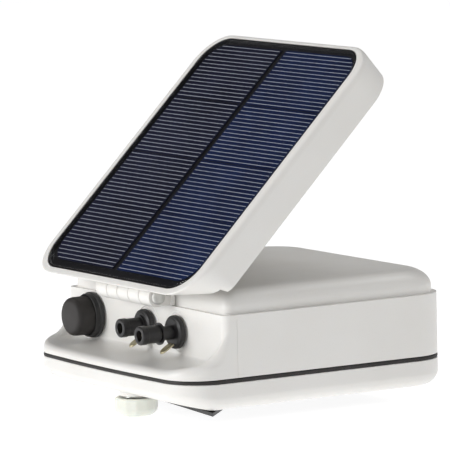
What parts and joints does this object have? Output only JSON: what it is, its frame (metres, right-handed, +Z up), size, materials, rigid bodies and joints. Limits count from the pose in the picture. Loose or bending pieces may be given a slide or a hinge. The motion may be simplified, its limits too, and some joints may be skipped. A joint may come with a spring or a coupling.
{
  "type": "fence energizer",
  "caption": "Solar electric-fence energizer: a sealed white box with a tilting solar panel, a rubber push-button and two output terminals.",
  "frame": {"origin": "middle of the flat underside of the black mounting plate, in line with the middle of the casing", "axes": "+Z up, away from the mounting plate; -Y towards the front with the button and the terminals; the panel's hinge lies along X"},
  "size_m": [0.13, 0.1355, 0.1542],
  "materials": {
    "white_plastic": "fine satin moulded ABS, warm off-white",
    "white_knob": "slightly translucent moulded nylon",
    "black_rubber": "matt black rubber",
    "black_plastic": "satin black moulded plastic",
    "grey_plastic": "grey moulded plastic",
    "zinc_steel": "bright zinc plated steel",
    "coated_steel": "black powder-coated steel",
    "brass": "dull nickel-brass",
    "panel_backing": "black laminate",
    "solar_cell": "dark blue silicon with fine silver fingers",
    "clear_glazing": "clear glossy potting",
    "battery_case": "dark grey ABS battery case",
    "foam": "black closed-cell foam",
    "circuit_board": "green solder mask",
    "ferrite": "dark sintered ferrite",
    "copper_winding": "enamelled copper wire",
    "capacitor_case": "blue epoxy dipped"
  },
  "bodies": {
    "housing": {"main_housing": "white_plastic", "base_tray": "white_plastic", "hinge_bracket": "white_plastic", "base_gasket": "black_rubber", "mounting_plate": "coated_steel", "hinge_pin": "zinc_steel", "pin_push_nut": "zinc_steel", "hinge_washer": "zinc_steel", "switch_nut": "black_plastic", "switch_body": "grey_plastic", "battery_pad": "foam", "battery": "battery_case", "battery_tab_positive": "brass", "battery_tab_negative": "brass", "circuit_board": "circuit_board", "transformer_core": "ferrite", "transformer_coil": "copper_winding", "pulse_capacitor": "capacitor_case", "filter_capacitor": "capacitor_case", "charge_inductor": "copper_winding", "thyristor": "black_plastic", "left_output_lead": "black_rubber", "right_output_lead": "black_rubber", "panel_grommet": "black_rubber", "base_screw_1": "zinc_steel", "plate_screw_1": "coated_steel", "base_screw_2": "zinc_steel", "plate_screw_2": "coated_steel", "base_screw_3": "zinc_steel", "plate_screw_3": "coated_steel", "base_screw_4": "zinc_steel", "plate_screw_4": "coated_steel", "bracket_screw_1": "zinc_steel", "bracket_screw_2": "zinc_steel", "left_flange": "black_plastic", "left_post": "brass", "left_nut": "brass", "left_lug": "brass", "right_flange": "black_plastic", "right_post": "brass", "right_nut": "brass", "right_lug": "brass"},
    "panel": {"panel_frame": "white_plastic", "panel_board": "panel_backing", "solar_cells_left": "solar_cell", "solar_cells_right": "solar_cell", "panel_glazing": "clear_glazing", "panel_lead_tail": "black_rubber"},
    "button": {"switch_boot": "black_rubber", "switch_plunger": "grey_plastic"},
    "left_washer": {"left_washer": "black_plastic"},
    "left_knob": {"left_knob": "black_plastic"},
    "right_washer": {"right_washer": "black_plastic"},
    "right_knob": {"right_knob": "black_plastic"},
    "thumb_washer": {"thumb_washer": "zinc_steel"},
    "thumb_screw": {"thumb_knob": "white_knob", "thumb_stud": "zinc_steel"}
  },
  "joints": [
    {"name": "panel_tilt", "type": "hinge", "parent": "housing", "child": "panel", "pos_m": [0, -0.0533, 0.0461], "axis": [1, 0, 0], "range_deg": [-45, 30]},
    {"name": "button_press", "type": "slide", "parent": "housing", "child": "button", "axis": [0, 1, 0], "range_m": [0, 0.002], "stiffness_N_per_m": 400, "springref_m": -0.001},
    {"name": "left_washer_travel", "type": "slide", "parent": "housing", "child": "left_washer", "axis": [0, -1, 0], "range_m": [0, 0.0024]},
    {"name": "left_knob_turn", "type": "hinge", "parent": "left_washer", "child": "left_knob", "pos_m": [0.0022, -0.056, 0.0314], "axis": [0, -1, 0], "range_deg": [0, 1085]},
    {"name": "right_washer_travel", "type": "slide", "parent": "housing", "child": "right_washer", "axis": [0, -1, 0], "range_m": [-0.004, 0]},
    {"name": "right_knob_turn", "type": "hinge", "parent": "right_washer", "child": "right_knob", "pos_m": [0.0276, -0.0616, 0.0314], "axis": [0, -1, 0], "range_deg": [-1810, 0]},
    {"name": "thumb_washer_travel", "type": "slide", "parent": "housing", "child": "thumb_washer", "axis": [0, 0, -1], "range_m": [0, 0.003]},
    {"name": "thumb_screw_turn", "type": "hinge", "parent": "thumb_washer", "child": "thumb_screw", "pos_m": [0, -0.052, 0], "axis": [0, 0, -1], "range_deg": [0, 1085]}
  ],
  "couplings": [
    {"joint": "left_knob_turn", "follows": "left_washer_travel", "rad_per_m": 7854},
    {"joint": "right_knob_turn", "follows": "right_washer_travel", "rad_per_m": 7854},
    {"joint": "thumb_screw_turn", "follows": "thumb_washer_travel", "rad_per_m": 6283.2}
  ]
}
